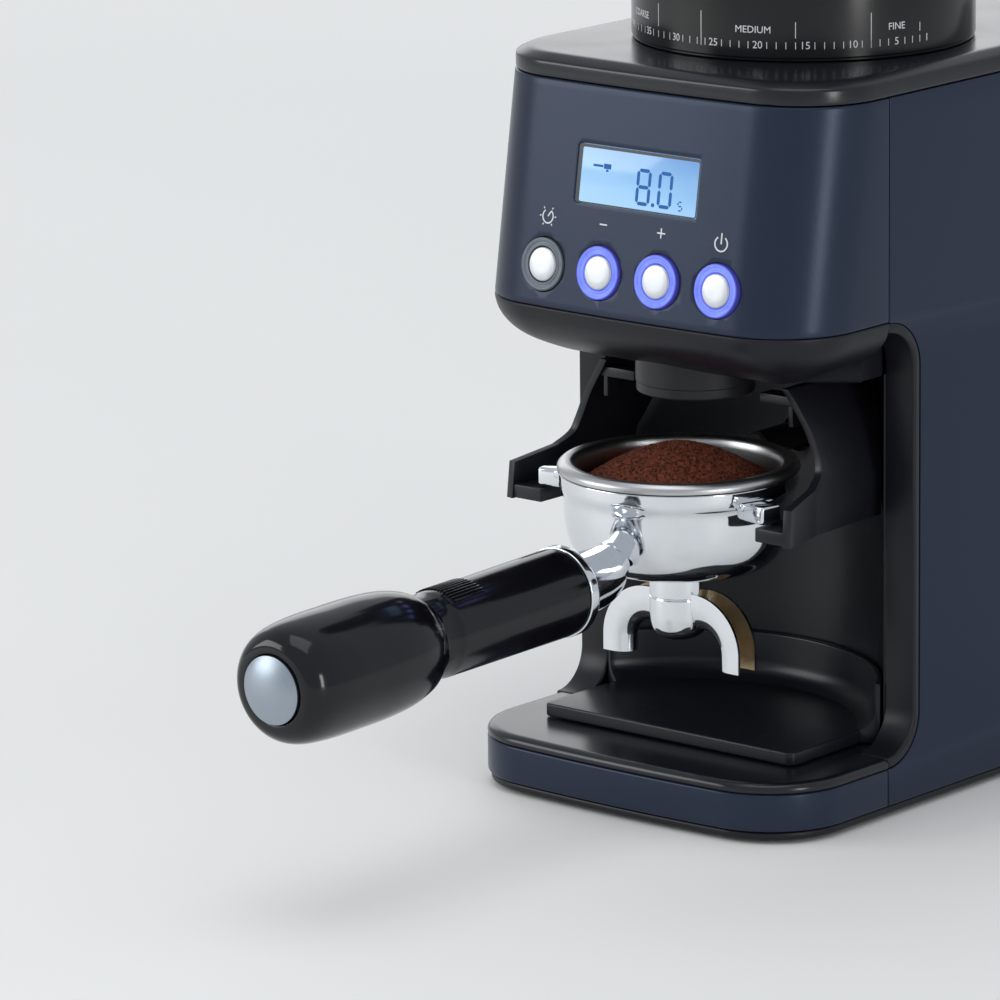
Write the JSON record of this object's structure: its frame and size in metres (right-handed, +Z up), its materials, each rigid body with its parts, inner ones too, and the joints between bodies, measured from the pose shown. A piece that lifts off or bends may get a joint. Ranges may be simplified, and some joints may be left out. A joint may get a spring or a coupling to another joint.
{
  "type": "burr coffee grinder",
  "caption": "Upright electric burr coffee grinder with a tilted control head, a bean hopper on a grind collar, and a portafilter docked in a cradle over a crumb tray.",
  "frame": {"origin": "centre of the bounding box's footprint, on the surface that the feet stand on", "axes": "+Z up, -Y to the front where the portafilter handle points, +X to the right as seen from the front"},
  "size_m": [0.126, 0.3486, 0.3479],
  "materials": {
    "painted_steel": "satin blue-black paint",
    "black_plastic": "satin black moulding",
    "dark_grey_plastic": "dark grey moulding",
    "foot_rubber": "matte",
    "display_glass": "backlit display window",
    "display_module": "display module",
    "circuit_board": "green board",
    "light_ring": "translucent ring lit from behind",
    "button_cap_metal": "spun aluminium",
    "smoked_hopper": "smoked clear plastic",
    "machined_steel": "machined",
    "brass_gear": "cut gear",
    "motor_steel": "drawn can",
    "chrome": "polished",
    "gloss_handle": "high gloss black",
    "brushed_steel": "satin stainless",
    "ground_coffee": "loose brown grounds"
  },
  "bodies": {
    "body": {"base_pan": "black_plastic", "foot_1": "foot_rubber", "foot_2": "foot_rubber", "foot_3": "foot_rubber", "foot_4": "foot_rubber", "base_band": "painted_steel", "base_cover": "black_plastic", "side_trim_left": "black_plastic", "side_trim_right": "black_plastic", "column_wall": "black_plastic", "rear_shell": "painted_steel", "front_panel": "painted_steel", "head_trim": "black_plastic", "top_cover": "black_plastic", "lcd_window": "display_glass", "lcd_module": "display_module", "control_board": "circuit_board", "button_ring_1": "light_ring", "button_ring_2": "light_ring", "button_ring_3": "light_ring", "button_ring_4": "light_ring", "chute_spout": "dark_grey_plastic", "grind_chute": "dark_grey_plastic", "grind_chamber": "dark_grey_plastic", "gearbox_plate": "machined_steel", "shaft_bearing": "machined_steel", "motor_can": "motor_steel", "power_board": "circuit_board", "cable_gland": "foot_rubber", "start_switch": "dark_grey_plastic"},
    "button_1": {"button_cap_1": "button_cap_metal"},
    "button_2": {"button_cap_2": "button_cap_metal"},
    "button_3": {"button_cap_3": "button_cap_metal"},
    "button_4": {"button_cap_4": "button_cap_metal"},
    "burr_drive": {"burr_shaft": "machined_steel", "drive_gear": "brass_gear", "inner_burr": "machined_steel", "sweeper": "machined_steel"},
    "motor_rotor": {"motor_pinion": "machined_steel", "motor_shaft": "machined_steel"},
    "collar": {"adjust_collar": "black_plastic", "burr_carrier": "dark_grey_plastic", "outer_burr": "machined_steel"},
    "hopper": {"bean_hopper": "smoked_hopper", "finger_guard": "black_plastic"},
    "hopper_cover": {"hopper_lid": "black_plastic"},
    "cradle": {"cradle": "black_plastic"},
    "plunger": {"start_plunger": "dark_grey_plastic"},
    "tray": {"crumb_tray": "black_plastic"},
    "portafilter": {"pf_body": "chrome", "pf_basket": "brushed_steel", "pf_grounds": "ground_coffee", "pf_spout": "chrome", "pf_ferrule": "chrome", "pf_handle": "gloss_handle", "pf_end_cap": "chrome"}
  },
  "joints": [
    {"name": "grind_adjust", "type": "hinge", "parent": "body", "child": "collar", "pos_m": [0, 0.06625, 0.235], "axis": [0, 0, 1], "range_deg": [-62, 62]},
    {"name": "hopper_lift", "type": "slide", "parent": "collar", "child": "hopper", "axis": [0, 0, 1], "range_m": [0, 0.12]},
    {"name": "hopper_lid_lift", "type": "slide", "parent": "hopper", "child": "hopper_cover", "axis": [0, 0, 1], "range_m": [0, 0.06]},
    {"name": "button_press_1", "type": "slide", "parent": "body", "child": "button_1", "axis": [0, 0.9878, -0.156], "range_m": [0, 0.001], "stiffness_N_per_m": 400, "springref_m": -0.001},
    {"name": "button_press_2", "type": "slide", "parent": "body", "child": "button_2", "axis": [0, 0.9878, -0.156], "range_m": [0, 0.001], "stiffness_N_per_m": 400, "springref_m": -0.001},
    {"name": "button_press_3", "type": "slide", "parent": "body", "child": "button_3", "axis": [0, 0.9878, -0.156], "range_m": [0, 0.001], "stiffness_N_per_m": 400, "springref_m": -0.001},
    {"name": "button_press_4", "type": "slide", "parent": "body", "child": "button_4", "axis": [0, 0.9878, -0.156], "range_m": [0, 0.001], "stiffness_N_per_m": 400, "springref_m": -0.001},
    {"name": "plunger_press", "type": "slide", "parent": "body", "child": "plunger", "axis": [0, 1, 0], "range_m": [0, 0.0025], "stiffness_N_per_m": 200, "springref_m": -0.002},
    {"name": "burr_spin", "type": "hinge", "parent": "body", "child": "burr_drive", "pos_m": [0, 0.06625, 0.18], "axis": [0, 0, 1], "continuous": true},
    {"name": "motor_spin", "type": "hinge", "parent": "body", "child": "motor_rotor", "pos_m": [0, 0.10625, 0.15], "axis": [0, 0, 1], "continuous": true},
    {"name": "tray_slide", "type": "slide", "parent": "body", "child": "tray", "axis": [0, -1, 0], "range_m": [0, 0.09]},
    {"name": "cradle_slide", "type": "slide", "parent": "body", "child": "cradle", "axis": [0, -1, 0], "range_m": [0, 0.08]},
    {"name": "portafilter_slide", "type": "slide", "parent": "cradle", "child": "portafilter", "axis": [0, -1, 0], "range_m": [0, 0.16]}
  ],
  "couplings": [
    {"joint": "motor_spin", "follows": "burr_spin", "ratio": -4}
  ]
}
